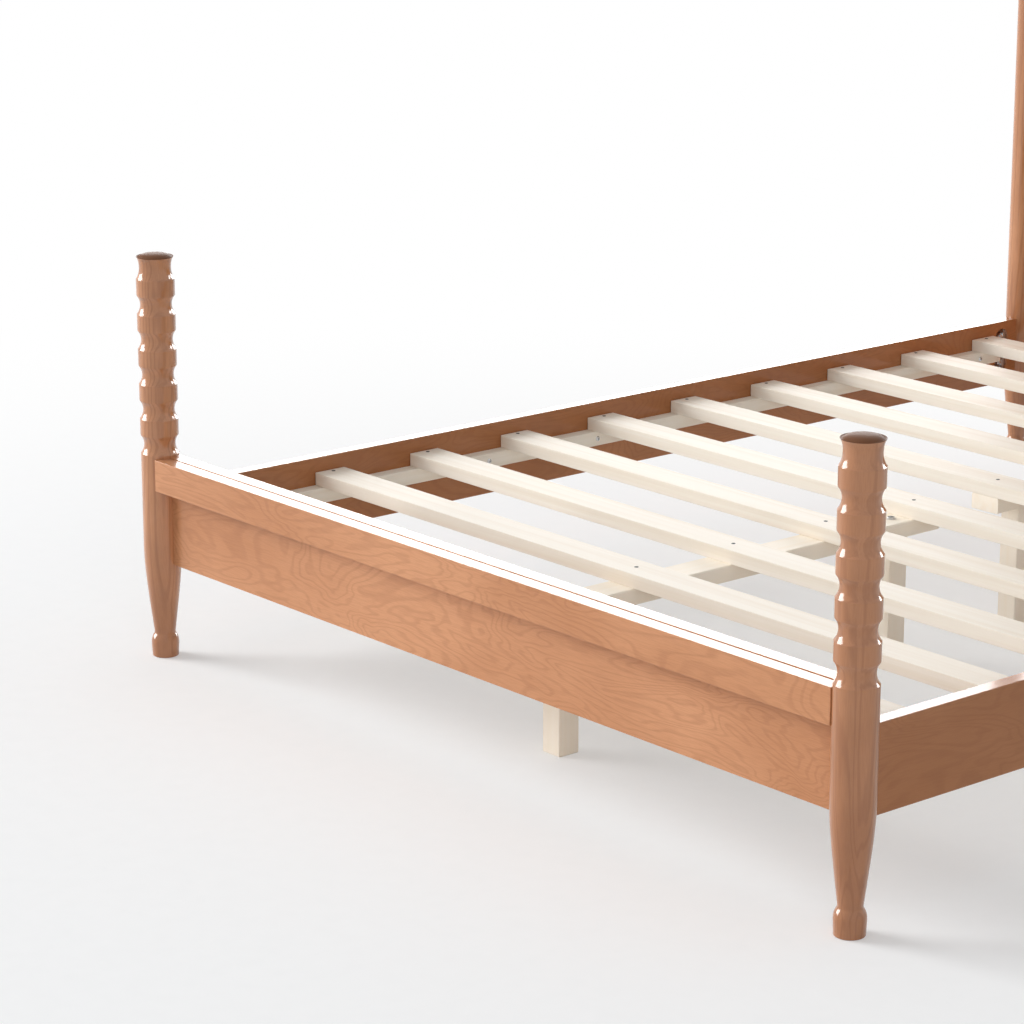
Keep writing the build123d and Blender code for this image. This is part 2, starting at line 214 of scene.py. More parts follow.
@dataclass(frozen=True)
class CherryFinish:
    """Lacquered cherry with a fine, swirling, low contrast figure."""

    light: tuple = (0.630, 0.302, 0.152, 1)
    deep: tuple = (0.515, 0.228, 0.105, 1)
    line: tuple = (0.260, 0.092, 0.036, 1)
    # Colour of the posts' crowns: the end grain's darker tone together with painted shade of the dome
    # and groove
    end_grain_and_shade: tuple = (0.165, 0.070, 0.034, 1)
    figure_along: float = 3.0
    figure_across: float = 9.5
    figure_detail: float = 3.0
    figure_roughness: float = 0.42
    figure_swirl: float = 0.6
    figure_lines: float = 25.0
    line_stops: tuple = ((0.55, 0.0), (0.97, 1.0))
    line_share: float = 0.18
    line_sink: float = 0.4
    patch_along: float = 0.6
    patch_scale: float = 5.0
    patch_detail: float = 3.0
    patch_stops: tuple = ((0.34, 0.0), (0.68, 1.0))
    pore_along: float = 45.0
    pore_across: float = 900.0
    pore_detail: float = 2.0
    pore_stops: tuple = ((0.38, 1.0), (0.56, 0.0))
    pore_share: float = 0.13
    pore_sink: float = 0.6
    relief: float = 0.05
    relief_depth: float = 0.2 * MM
    roughness: float = 0.30
    roughness_swing: float = 0.10
    specular: float = 0.1
    coat: float = 0.35
    coat_ior: float = 1.6
    coat_roughness: float = 0.07
    crown_rougher_by: float = 0.35
    crown_coat_loss: float = 0.95

    def material(self, name: str, grain: Grain, shift: tuple = (0, 0, 0),
                 crown_height: float | None = None) -> bpy.types.Material:
        """Write the wood's nodes.

        Args:
            name: name of the material.
            grain: axis that the grain runs along.
            shift: offset that gives a board a figure of its own, in metres of the pattern.
            crown_height: height above which a post's crown takes the dark end grain colour, partly
                painted shade.

        Returns:
            The new material.
        """
        nodes = NodeTree(name)
        figure_scale = stretched(grain, self.figure_along, self.figure_across)
        figure_points = nodes.object_points(figure_scale, shift)
        swirl = nodes.noise(
            figure_points, 1.0, self.figure_detail, self.figure_roughness, self.figure_swirl
        )
        lines = nodes.ramp(nodes.waves(swirl, self.figure_lines), *self.line_stops)
        patch_points = nodes.object_points(stretched(grain, self.patch_along, 1.0), shift)
        patches = nodes.noise(patch_points, self.patch_scale, self.patch_detail)
        pore_scale = stretched(grain, self.pore_along, self.pore_across)
        pore_points = nodes.object_points(pore_scale, shift)
        pores = nodes.ramp(nodes.noise(pore_points, 1.0, self.pore_detail), *self.pore_stops)
        ground = nodes.mix(nodes.ramp(patches, *self.patch_stops), self.light, self.deep)
        veined = nodes.mix(nodes.math("MULTIPLY", lines, self.line_share), ground, self.line)
        colour = nodes.mix(nodes.math("MULTIPLY", pores, self.pore_share), veined, self.line)
        pits = nodes.math("MULTIPLY", pores, -self.pore_sink)
        height = nodes.math("ADD", pits, nodes.math("MULTIPLY", lines, -self.line_sink))
        normal = nodes.bump(height, self.relief, self.relief_depth)
        smoothest = self.roughness - self.roughness_swing / 2
        gloss = nodes.math("MULTIPLY_ADD", patches, self.roughness_swing, smoothest)
        coat = self.coat
        # Above the crown height the colour turns to the dark end grain, which is partly painted shade
        if crown_height is not None:
            place = nodes.add("SeparateXYZ", {0: nodes.object_points()})
            crown = nodes.math("GREATER_THAN", place.outputs["Z"], crown_height)
            colour = nodes.mix(crown, colour, self.end_grain_and_shade)
            coat = nodes.math("MULTIPLY_ADD", crown, -self.crown_coat_loss * self.coat, self.coat)
            gloss = nodes.math("MULTIPLY_ADD", crown, self.crown_rougher_by, gloss)
        shader = nodes.add("BsdfPrincipled", {
            "Base Color": colour,
            "Roughness": gloss,
            "Normal": normal,
            "Specular IOR Level": self.specular,
            "Coat Weight": coat,
            "Coat IOR": self.coat_ior,
            "Coat Roughness": self.coat_roughness,
        })
        return nodes.finish(shader.outputs[0])


@dataclass(frozen=True)
class PineFinish:
    """Pale planed pine with faint straight streaks and no lacquer."""

    light: tuple = (0.875, 0.815, 0.720, 1)
    streak: tuple = (0.770, 0.670, 0.540, 1)
    streak_along: float = 1.3
    streak_across: float = 70.0
    streak_shift: tuple = (3, 5, 7)
    streak_detail: float = 3.0
    streak_roughness: float = 0.55
    streak_swirl: float = 0.15
    streak_stops: tuple = ((0.42, 0.0), (0.78, 0.75))
    fibre_along: float = 30.0
    fibre_across: float = 1400.0
    fibre_shift: tuple = (1, 2, 4)
    fibre_detail: float = 2.0
    fibre_stops: tuple = ((0.35, 1.0), (0.62, 0.0))
    fibre_share: float = 0.10
    relief: float = 0.12
    relief_depth: float = 0.15 * MM
    roughness: float = 0.52
    roughness_swing: float = 0.12
    specular: float = 0.1

    def material(self, name: str, grain: Grain) -> bpy.types.Material:
        """Write the wood's nodes.

        Args:
            name: name of the material.
            grain: axis that the grain runs along.

        Returns:
            The new material.
        """
        nodes = NodeTree(name)
        streak_scale = stretched(grain, self.streak_along, self.streak_across)
        streak_points = nodes.object_points(streak_scale, self.streak_shift)
        streaks = nodes.noise(
            streak_points, 1.0, self.streak_detail, self.streak_roughness, self.streak_swirl
        )
        fibre_scale = stretched(grain, self.fibre_along, self.fibre_across)
        fibre_points = nodes.object_points(fibre_scale, self.fibre_shift)
        fibres = nodes.noise(fibre_points, 1.0, self.fibre_detail)
        ground = nodes.mix(nodes.ramp(streaks, *self.streak_stops), self.light, self.streak)
        faint = nodes.math("MULTIPLY", nodes.ramp(fibres, *self.fibre_stops), self.fibre_share)
        colour = nodes.mix(faint, ground, self.streak)
        normal = nodes.bump(fibres, self.relief, self.relief_depth)
        smoothest = self.roughness - self.roughness_swing / 2
        shader = nodes.add("BsdfPrincipled", {
            "Base Color": colour,
            "Roughness": nodes.math("MULTIPLY_ADD", fibres, self.roughness_swing, smoothest),
            "Specular IOR Level": self.specular,
            "Normal": normal,
        })
        return nodes.finish(shader.outputs[0])


@dataclass(frozen=True)
class SteelFinish:
    """Zinc plated steel with fine turning marks, or a near black matte copy that is painted shade."""

    colour: tuple = (0.62, 0.62, 0.61, 1)
    dull: tuple = (0.44, 0.44, 0.45, 1)
    roughness: float = 0.24
    roughness_swing: float = 0.16
    metallic: float = 1.0
    specular: float = 0.3
    cloud_scale: float = 260.0
    cloud_detail: float = 3.0
    mark_scale: float = 1560.0
    mark_detail: float = 2.0
    relief: float = 0.10
    relief_depth: float = 0.05 * MM

    def material(self, name: str) -> bpy.types.Material:
        """Write the metal's nodes.

        Args:
            name: name of the material.

        Returns:
            The new material.
        """
        nodes = NodeTree(name)
        points = nodes.object_points()
        cloud = nodes.noise(points, self.cloud_scale, self.cloud_detail)
        marks = nodes.noise(points, self.mark_scale, self.mark_detail)
        normal = nodes.bump(marks, self.relief, self.relief_depth)
        smoothest = self.roughness - self.roughness_swing / 2
        shader = nodes.add("BsdfPrincipled", {
            "Base Color": nodes.mix(cloud, self.colour, self.dull),
            "Metallic": self.metallic,
            "Specular IOR Level": self.specular,
            "Roughness": nodes.math("MULTIPLY_ADD", cloud, self.roughness_swing, smoothest),
            "Normal": normal,
        })
        return nodes.finish(shader.outputs[0])


@dataclass(frozen=True)
class FloorFinish:
    """A white studio floor that keeps soft shadows near the bed and is plain white far from it."""

    seen_colour: tuple = (0.685, 0.695, 0.703, 1)
    bounce_colour: tuple = (0.82, 0.825, 0.83, 1)
    speckle_scale: float = 30.0
    speckle_detail: float = 2.0
    speckle_contrast: float = 0.04
    lift: float = 0.25
    centre: tuple = (0.5, -1.6, 0)
    near: float = 1.4
    far: float = 4.0

    def material(self) -> bpy.types.Material:
        """Write a diffuse floor that fades to plain white, as the camera sees it, far from the bed.

        Returns:
            The new material.
        """
        nodes = NodeTree("studio_white")
        points = nodes.object_points()
        speckle = nodes.noise(points, self.speckle_scale, self.speckle_detail)
        seen = nodes.seen_by_eye()
        tone = nodes.mix(seen, self.bounce_colour, self.seen_colour)
        brightest = 1 + self.speckle_contrast / 2
        shade = nodes.math("MULTIPLY_ADD", speckle, -self.speckle_contrast, brightest)
        diffuse = nodes.add("BsdfDiffuse", {"Color": nodes.mix(1.0, tone, shade, "MULTIPLY")})
        strength = nodes.math("MULTIPLY", seen, self.lift)
        glow = nodes.add("Emission", {"Color": WHITE, "Strength": strength})
        lit = nodes.add("AddShader", {0: diffuse.outputs[0], 1: glow.outputs[0]})
        away = nodes.add("VectorMath", {0: points, 1: self.centre}, operation="DISTANCE")
        reach = {"Value": away.outputs["Value"], "From Min": self.near, "From Max": self.far}
        share = nodes.add("MapRange", reach, interpolation_type="SMOOTHSTEP")
        white = nodes.add("Emission", {"Color": WHITE, "Strength": 1.0})
        fade = nodes.math("MULTIPLY", seen, share.outputs[0])
        floor = nodes.add("MixShader", {0: fade, 1: lit.outputs[0], 2: white.outputs[0]})
        return nodes.finish(floor.outputs[0])


BOARD_CHERRY = CherryFinish()
POST_CHERRY = CherryFinish(
    light=(0.560, 0.256, 0.120, 1), deep=(0.385, 0.156, 0.063, 1), figure_along=0.8,
    figure_across=16.0, figure_lines=14.0, line_share=0.30, coat=0.85,
)
# Darker copy of the boards' cherry for the rails: painted shade for rail faces that turn away from the
# key light
SHADED_RAIL_CHERRY = CherryFinish(light=(0.450, 0.192, 0.080, 1), deep=(0.370, 0.146, 0.054, 1))
SLAT_PINE = PineFinish()
# Brighter, warmer copy of the pine for the beams and legs: painted light for the shade under the deck
BEAM_PINE_PAINTED_LIGHT = PineFinish(light=(0.98, 0.90, 0.78, 1), streak=(0.94, 0.82, 0.66, 1))
DOMED_ZINC = SteelFinish()
LAG_ZINC = SteelFinish(roughness=0.34)
BRIGHT_ZINC = SteelFinish(colour=(0.86, 0.86, 0.86, 1), dull=(0.70, 0.70, 0.71, 1), roughness=0.36)
# Near black, matte steel for the slat screws: painted shade for the dark socket in each head
SHADE_BLACK_STEEL = SteelFinish(
    colour=(0.035, 0.035, 0.038, 1), dull=(0.018, 0.018, 0.020, 1), roughness=0.62, metallic=0.0
)

# Offsets that give each cherry piece a figure of its own, in metres of the pattern
FIGURE_SHIFTS = {
    "posts": (11, 3, 0),
    "footboard_panel": (0, 0, 5),
    "footboard_trim": (7.3, 4, 0),
    "headboard_panel": (2, 0, 5),
    "headboard_trim": (7.3, 4, 2),
    "rails": (4, 9, 1),
}


class Workshop:
    """Turns bmeshes into pieces that ride on the bed and are dressed."""

    MERGE_DISTANCE = 0.001 * MM
    FLAT_DEGREES = 0.5
    LONG_EDGE = 1.0

    @staticmethod
    def piece(mesh: bmesh.types.BMesh, name: str, material: bpy.types.Material, slot: str,
              stands_for: tuple[str, ...] = (), smooth_degrees: float | None = 35.0) -> bpy.types.Object:
        """Write a bmesh to an object at the origin and put it on the bed.

        Args:
            mesh: the finished shape, which is freed.
            name: name of the piece.
            material: its finish.
            slot: name of a material slot, which is not used.
            stands_for: CAD nodes that it is shown instead of.
            smooth_degrees: edges flatter than this are shaded smooth, and None shades all flat.

        Returns:
            The new object.
        """
        bmesh.ops.recalc_face_normals(mesh, faces=mesh.faces)
        if smooth_degrees is not None:
            limit = math.radians(smooth_degrees)
            for face in mesh.faces:
                face.smooth = True
            for edge in mesh.edges:
                edge.smooth = edge.is_manifold and edge.calc_face_angle() < limit
        data = bpy.data.meshes.new(name)
        mesh.to_mesh(data)
        mesh.free()
        data.materials.append(material)
        made = bpy.data.objects.new(name, data)
        bpy.context.scene.collection.objects.link(made)
        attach(made, BODY)
        if stands_for:
            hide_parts(*stands_for)
        log.info("%s: %d faces", name, len(data.polygons))
        return made

    @staticmethod
    def dress(node: str, material: bpy.types.Material) -> None:
        """Give a CAD node that is shown as it is a finish of its own.

        Args:
            node: name of the CAD node.
            material: its finish.
        """
        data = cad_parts[node].data
        data.materials.clear()
        data.materials.append(material)
        log.info("%s: finished as packed", node)

    @staticmethod
    def round_edges(mesh: bmesh.types.BMesh, edges: list[bmesh.types.BMEdge], round_by: float,
                    segments: int) -> None:
        """Round some edges of a mesh.

        Args:
            mesh: the mesh.
            edges: the edges.
            round_by: how far the rounding reaches from each edge.
            segments: number of runs across the rounding.
        """
        bmesh.ops.bevel(
            mesh, geom=edges, offset=round_by, offset_type="OFFSET", affect="EDGES",
            segments=segments, profile=0.5, material=-1,
        )

    @staticmethod
    def block(low: Vector, high: Vector, round_by: float, segments: int = 3) -> bmesh.types.BMesh:
        """Make a block with softly rounded edges.

        Args:
            low: its lowest corner.
            high: its highest corner.
            round_by: how far the rounding reaches from each edge.
            segments: number of runs across the rounding.

        Returns:
            A bmesh of the block.
        """
        mesh = bmesh.new()
        bmesh.ops.create_cube(mesh, size=1.0)
        bmesh.ops.scale(mesh, vec=high - low, verts=mesh.verts)
        bmesh.ops.translate(mesh, vec=(low + high) / 2, verts=mesh.verts)
        Workshop.round_edges(mesh, list(mesh.edges), round_by, segments)
        return mesh

    @staticmethod
    def eased_copy(node: str, round_by: float) -> bmesh.types.BMesh:
        """Copy a CAD board's shape and soften the long edges.

        Args:
            node: name of the CAD node, which keeps its own mesh.
            round_by: how far the rounding reaches from each long edge.

        Returns:
            A bmesh of the board.
        """
        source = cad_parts[node]
        flat = math.radians(Workshop.FLAT_DEGREES)
        mesh = bmesh.new()
        mesh.from_mesh(source.data)
        bmesh.ops.transform(mesh, matrix=source.matrix_world, verts=mesh.verts)
        bmesh.ops.remove_doubles(mesh, verts=mesh.verts, dist=Workshop.MERGE_DISTANCE)
        bmesh.ops.dissolve_limit(mesh, angle_limit=flat, verts=mesh.verts, edges=mesh.edges)
        long_edges = [edge for edge in mesh.edges if edge.calc_length() > Workshop.LONG_EDGE]
        Workshop.round_edges(mesh, long_edges, round_by, segments=2)
        return mesh

    @staticmethod
    def turned(profile: list[tuple[float, float]], steps: int) -> bmesh.types.BMesh:
        """Spin a profile about the Z axis.

        Args:
            profile: its points as radius and height, from the axis and back to it.
            steps: number of facets round the shape.

        Returns:
            A bmesh of the closed shape.
        """
        mesh = bmesh.new()
        points = [mesh.verts.new((radius, 0, height)) for radius, height in profile]
        edges = [mesh.edges.new(pair) for pair in zip(points, points[1:])]
        bmesh.ops.spin(
            mesh, geom=points + edges, cent=(0, 0, 0), axis=(0, 0, 1), angle=math.tau, steps=steps,
            use_merge=True,
        )
        bmesh.ops.remove_doubles(mesh, verts=mesh.verts, dist=Workshop.MERGE_DISTANCE)
        return mesh

    @staticmethod
    def repeated(shape: bmesh.types.BMesh, places: list[Matrix]) -> bmesh.types.BMesh:
        """Copy one shape to many places in a single mesh.

        Args:
            shape: the shape at the origin, which is freed.
            places: where each copy goes.

        Returns:
            A bmesh with all the copies.
        """
        data = bpy.data.meshes.new("repeated_shape")
        shape.to_mesh(data)
        shape.free()
        joined = bmesh.new()
        for place in places:
            first = len(joined.verts)
            joined.from_mesh(data)
            joined.verts.ensure_lookup_table()
            bmesh.ops.transform(joined, matrix=place, verts=joined.verts[first:])
        bpy.data.meshes.remove(data)
        return joined


class Profile:
    """A turned outline, drawn upwards as lines, arcs and smooth bends."""

    def __init__(self, radius: float, height: float) -> None:
        """Start the outline at a point."""
        self.points = [(radius, height)]

    def line(self, radius: float, height: float) -> None:
        """Draw a straight run to a point."""
        self.points.append((radius, height))

    def bend(self, *pulls: tuple[float, float], steps: int = 8) -> None:
        """Draw a Bezier curve from the last point.

        Args:
            pulls: points that pull the curve, and last the point where it ends.
            steps: number of runs along the curve.
        """
        controls = [self.points[-1], *pulls]
        order = len(controls) - 1
        for step in range(1, steps + 1):
            t = step / steps
            weights = [math.comb(order, k) * (1 - t) ** (order - k) * t**k for k in range(order + 1)]
            radius = sum(weight * control[0] for weight, control in zip(weights, controls))
            height = sum(weight * control[1] for weight, control in zip(weights, controls))
            self.line(radius, height)

    def arc(self, radius: float, height: float, bulge: float, steps: int = 12) -> None:
        """Draw an arc from the last point to a point.

        Args:
            radius: radius where the arc ends.
            height: height where the arc ends.
            bulge: how far the arc's middle stands to the right of its chord, negative for the left.
            steps: number of runs along the arc.
        """
        start, end = Vector(self.points[-1]), Vector((radius, height))
        chord = end - start
        curve = (chord.length**2 / 4 + bulge**2) / (2 * bulge)
        side = Vector((chord.y, -chord.x)).normalized()
        centre = (start + end) / 2 + side * (bulge - curve)
        first, last = start - centre, end - centre
        sweep = first.angle_signed(last)
        for step in range(1, steps + 1):
            turned = Matrix.Rotation(-sweep * step / steps, 2) @ first
            self.points.append(tuple(centre + turned))


@dataclass(frozen=True)
class TurnedPost:
    """One turned post with its scalloped top, tapered leg and collared foot.

    Fields that end in share or shares place the points of a bend as parts of the collar, the
    taper, the rim's cove or the dome.
    """

    end: End
    x: float
    y: float
    board_top: float
    radius: float = 31.0 * MM
    foot_radius: float = 21.6 * MM
    foot_round: float = 2.5 * MM
    collar_radius: float = 22.6 * MM
    collar_height: float = 33.0 * MM
    collar_side_share: float = 0.62
    collar_swell: float = 0.2 * MM
    collar_swell_share: float = 0.88
    collar_shoulder_share: float = 0.94
    neck_radius: float = 17.4 * MM
    neck_height: float = 43.0 * MM
    neck_flare: float = 1.4 * MM
    neck_flare_rise: float = 4.2 * MM
    neck_waist: float = 0.2 * MM
    neck_waist_rise: float = 6.0 * MM
    taper_top: float = 190.0 * MM
    taper_lean_shares: tuple = (0.865, 0.62)
    taper_knee_share: float = 0.80
    turning_gap: float = 4.4 * MM
    cove_count: int = 5
    cove_length: float = 30.0 * MM
    cove_depth: float = 5.4 * MM
    band_length: float = 27.2 * MM
    band_setback: float = 0.35 * MM
    band_corner: float = 1.0 * MM
    band_round: float = 3.4 * MM
    rim_cove_length: float = 36.0 * MM
    rim_neck_low: float = 24.2 * MM
    rim_neck_low_share: float = 0.20
    rim_neck_high: float = 24.0 * MM
    rim_neck_high_share: float = 0.74
    rim_radius: float = 29.7 * MM
    lip: float = 0.7 * MM
    groove_width: float = 2.2 * MM
    groove_depth: float = 0.5 * MM
    dome_height: float = 5.0 * MM
    dome_shoulder_shares: tuple = (0.74, 0.82)
    dome_flat_share: float = 0.40
    crown_depth: float = 4.1 * MM
    steps: int = 96

    def draw_foot(self, profile: Profile) -> None:
        """Draw the rounded foot, its collar and the neck above it.

        Args:
            profile: the outline, which is at the middle of the foot.
        """
        profile.line(self.foot_radius - self.foot_round, 0.0)
        profile.bend((self.foot_radius, 0.0), (self.foot_radius, self.foot_round), steps=5)
        profile.line(self.collar_radius, self.collar_side_share * self.collar_height)
        profile.bend(
            (self.collar_radius + self.collar_swell, self.collar_swell_share * self.collar_height),
            (self.collar_shoulder_share * self.collar_radius, self.collar_height),
            (self.neck_radius + self.neck_flare, self.collar_height + self.neck_flare_rise),
        )
        profile.bend(
            (self.neck_radius - self.neck_waist, self.collar_height + self.neck_waist_rise),
            (self.neck_radius, self.neck_height),
            steps=4,
        )

    def draw_taper(self, profile: Profile) -> None:
        """Draw the leg, which swells from the neck to the full radius.

        Args:
            profile: the outline, which is at the neck.
        """
        lean_radius, lean_height = self.taper_lean_shares
        profile.bend(
            (lean_radius * self.radius, lean_height * self.taper_top),
            (self.radius, self.taper_knee_share * self.taper_top),
            (self.radius, self.taper_top),
            steps=20,
        )

    def draw_scallops(self, profile: Profile, start: float) -> None:
        """Draw the coves, each with the band above it.

        Args:
            profile: the outline, which is at the full radius below the first cove.
            start: height where the first cove starts.
        """
        for index in range(self.cove_count):
            cove_start = start + index * (self.cove_length + self.band_length)
            cove_end = cove_start + self.cove_length
            profile.line(self.radius, cove_start)
            profile.arc(self.radius - self.band_setback, cove_end, -self.cove_depth)
            profile.bend(
                (self.radius, cove_end + self.band_corner), (self.radius, cove_end + self.band_round),
                steps=4,
            )

    def draw_crown(self, profile: Profile, start: float) -> None:
        """Draw the last cove, the rim, and the groove and dome within it.

        Args:
            profile: the outline, which is at the full radius on the last band.
            start: height where the last cove starts.
        """
        rim_height = start + self.rim_cove_length
        shoulder_radius, shoulder_height = self.dome_shoulder_shares
        profile.line(self.radius, start)
        profile.bend(
            (self.rim_neck_low, start + self.rim_neck_low_share * self.rim_cove_length),
            (self.rim_neck_high, start + self.rim_neck_high_share * self.rim_cove_length),
            (self.rim_radius, rim_height - self.lip),
            steps=18,
        )
        profile.line(self.rim_radius, rim_height)
        profile.line(self.rim_radius - self.groove_width, rim_height - self.groove_depth)
        profile.bend(
            (shoulder_radius * self.rim_radius, rim_height + shoulder_height * self.dome_height),
            (self.dome_flat_share * self.rim_radius, rim_height + self.dome_height),
            (0.0, rim_height + self.dome_height),
            steps=10,
        )

    def build(self, name: str, material: bpy.types.Material) -> bpy.types.Object:
        """Spin the post, put it at its place and show it for its CAD node.

        Args:
            name: name of the piece.
            material: its finish.

        Returns:
            The new object.
        """
        profile = Profile(0.0, 0.0)
        turning_start = self.board_top + self.turning_gap
        crown_start = turning_start + self.cove_count * (self.cove_length + self.band_length)
        self.draw_foot(profile)
        self.draw_taper(profile)
        self.draw_scallops(profile, turning_start)
        self.draw_crown(profile, crown_start)
        mesh = Workshop.turned(profile.points, self.steps)
        bmesh.ops.translate(mesh, vec=(self.x, self.y, 0), verts=mesh.verts)
        return Workshop.piece(
            mesh, name, material, "lacquered_cherry", (f"{self.end.value}_posts",), smooth_degrees=30.0
        )


@dataclass(frozen=True)
class Posts:
    """The four posts, placed by the CAD nodes that they stand for."""

    cherry: CherryFinish

    def build(self) -> None:
        """Build the posts at both ends."""
        radius = TurnedPost.radius
        for end in End:
            low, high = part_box(f"{end.value}_posts")
            crown_height = high.z - TurnedPost.crown_depth
            material = self.cherry.material(
                f"cherry_{end.value}_posts", Grain.ALONG_Z, FIGURE_SHIFTS["posts"], crown_height
            )
            board_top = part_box(f"{end.value}board_panel")[1].z
            y = (low.y + high.y) / 2
            for side, x in (("left", low.x + radius), ("right", high.x - radius)):
                TurnedPost(end, x, y, board_top).build(f"{end.value}_post_{side}", material)


@dataclass(frozen=True)
class Boards:
    """Panels, trims and side rails with eased edges; the rails' cherry is darker, as painted shade.

    A trim stays short of its panel's back and of its CAD height by the joint step, so that the
    joint between the two shows as a fine line.
    """

    cherry: CherryFinish
    shaded_rail_cherry: CherryFinish
    edge_round: float = 0.7 * MM
    joint_step: tuple = (0, 0.6 * MM, 1.1 * MM)

    def build(self) -> None:
        """Build the boards at both ends and the two rails."""
        for end in End:
            self.build_plain(f"{end.value}board_panel")
            self.build_plain(f"{end.value}board_trim", self.joint_step)
        # The rails take the darker cherry, which is painted shade for their faces that turn from the key
        # light
        rail = self.shaded_rail_cherry.material("cherry_rail_painted_shade", Grain.ALONG_Y, FIGURE_SHIFTS["rails"])
        for side in ("left", "right"):
            node = f"side_rail_{side}"
            mesh = Workshop.eased_copy(node, self.edge_round)
            Workshop.piece(
                mesh, f"eased_rail_{side}", rail, "lacquered_cherry", (node,), smooth_degrees=None
            )

    def build_plain(self, node: str, shorter_by: tuple = (0, 0, 0)) -> None:
        """Build a plain board with softened edges for a CAD board.

        Args:
            node: name of the CAD node that it is shown for.
            shorter_by: how far its right end, back and top stay short of the CAD board's.
        """
        material = self.cherry.material(f"cherry_{node}", Grain.ALONG_X, FIGURE_SHIFTS[node])
        low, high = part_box(node)
        mesh = Workshop.block(low, high - Vector(shorter_by), self.edge_round, segments=2)
        Workshop.piece(mesh, f"eased_{node}", material, "lacquered_cherry", (node,), smooth_degrees=None)


@dataclass(frozen=True)
class Screw:
    """A screw head turned about +Z, whose flat top, or the foot of whose dome, is at height zero.

    Fields that end in share are parts of the head's radius, and the socket floor's is a part of
    the socket's radius.
    """

    head_radius: float
    socket_radius: float
    socket_depth: float
    dome_height: float = 0.0
    dome_shoulder_share: float = 0.8
    flat_edge_share: float = 0.06
    socket_floor_share: float = 0.85
    socket_lip_share: float = 0.03
    shank_radius_share: float = 0.5
    shank_depth_share: float = 0.6
    steps: int = 24

    def mesh(self) -> bmesh.types.BMesh:
        """Turn the head, with a socket sunk in it.

        Returns:
            A bmesh of the head.
        """
        socket_floor = self.dome_height - self.socket_depth
        shank_end = -self.shank_depth_share * self.head_radius
        profile = Profile(0.0, socket_floor)
        profile.line(self.socket_floor_share * self.socket_radius, socket_floor)
        profile.line(self.socket_radius, self.dome_height - self.socket_lip_share * self.head_radius)
        if self.dome_height > 0:
            shoulder = self.dome_shoulder_share * self.head_radius
            profile.bend((shoulder, self.dome_height), (self.head_radius, 0.0), steps=7)
        else:
            profile.line(self.head_radius, 0.0)
            profile.line(self.head_radius, -self.flat_edge_share * self.head_radius)
        profile.line(self.shank_radius_share * self.head_radius, shank_end)
        profile.line(0.0, shank_end)
        return Workshop.turned(profile.points, self.steps)


@dataclass(frozen=True)
class SlatDeck:
    """Ten slats with rounded edges, the cleats under their ends, and the screws in both."""

    pine: PineFinish
    slat_screw_steel: SteelFinish
    cleat_screw_steel: SteelFinish
    slat_count: int = 10
    slat_round: float = 1.1 * MM
    slat_screw: Screw = Screw(head_radius=3.3 * MM, socket_radius=2.5 * MM, socket_depth=0.25 * MM)
    slat_screw_inset: float = 10.3 * MM
    slat_screw_proud: float = 0.35 * MM
    cleat_screw: Screw = Screw(
        head_radius=4.6 * MM, socket_radius=1.8 * MM, socket_depth=1.6 * MM, dome_height=2.4 * MM
    )
    cleat_screw_count: int = 8
    cleat_screw_inset: float = 59.0 * MM

    def build(self) -> None:
        """Build the slats, set their screws and finish the cleats."""
        self.build_slats()
        self.build_cleat_screws()
        cleat_pine = self.pine.material("pine_cleat", Grain.ALONG_Y)
        for side in ("left", "right"):
            Workshop.dress(f"cleat_{side}", cleat_pine)

    def build_slats(self) -> None:
        """Build each slat, and set a screw in both of its ends and in its middle."""
        slat_pine = self.pine.material("pine_slat", Grain.ALONG_X)
        # The slat screws are near black as painted shade for their sockets
        shade_black = self.slat_screw_steel.material("shade_black_screw")
        places = []
        for number in range(1, self.slat_count + 1):
            node = f"slat_{number}"
            low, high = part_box(node)
            mesh = Workshop.block(low, high, self.slat_round)
            Workshop.piece(mesh, f"planed_{node}", slat_pine, "pale_pine", (node,), smooth_degrees=None)
            y = (low.y + high.y) / 2
            for x in (low.x + self.slat_screw_inset, 0.0, high.x - self.slat_screw_inset):
                places.append(Matrix.Translation((x, y, high.z + self.slat_screw_proud)))
        screws = Workshop.repeated(self.slat_screw.mesh(), places)
        Workshop.piece(screws, "slat_screws", shade_black, "zinc_steel")

    def build_cleat_screws(self) -> None:
        """Set a row of domed screws in the inner face of each cleat."""
        zinc = self.cleat_screw_steel.material("zinc_cleat_screw")
        places = []
        for side, turn in (("left", 1), ("right", -1)):
            low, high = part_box(f"cleat_{side}")
            face_x = high.x if side == "left" else low.x
            length = high.y - low.y - 2 * self.cleat_screw_inset
            out = Matrix.Rotation(turn * math.pi / 2, 4, "Y")
            for index in range(self.cleat_screw_count):
                y = low.y + self.cleat_screw_inset + index * length / (self.cleat_screw_count - 1)
                places.append(Matrix.Translation((face_x, y, (low.z + high.z) / 2)) @ out)
        screws = Workshop.repeated(self.cleat_screw.mesh(), places)
        Workshop.piece(screws, "cleat_screws", zinc, "zinc_steel")


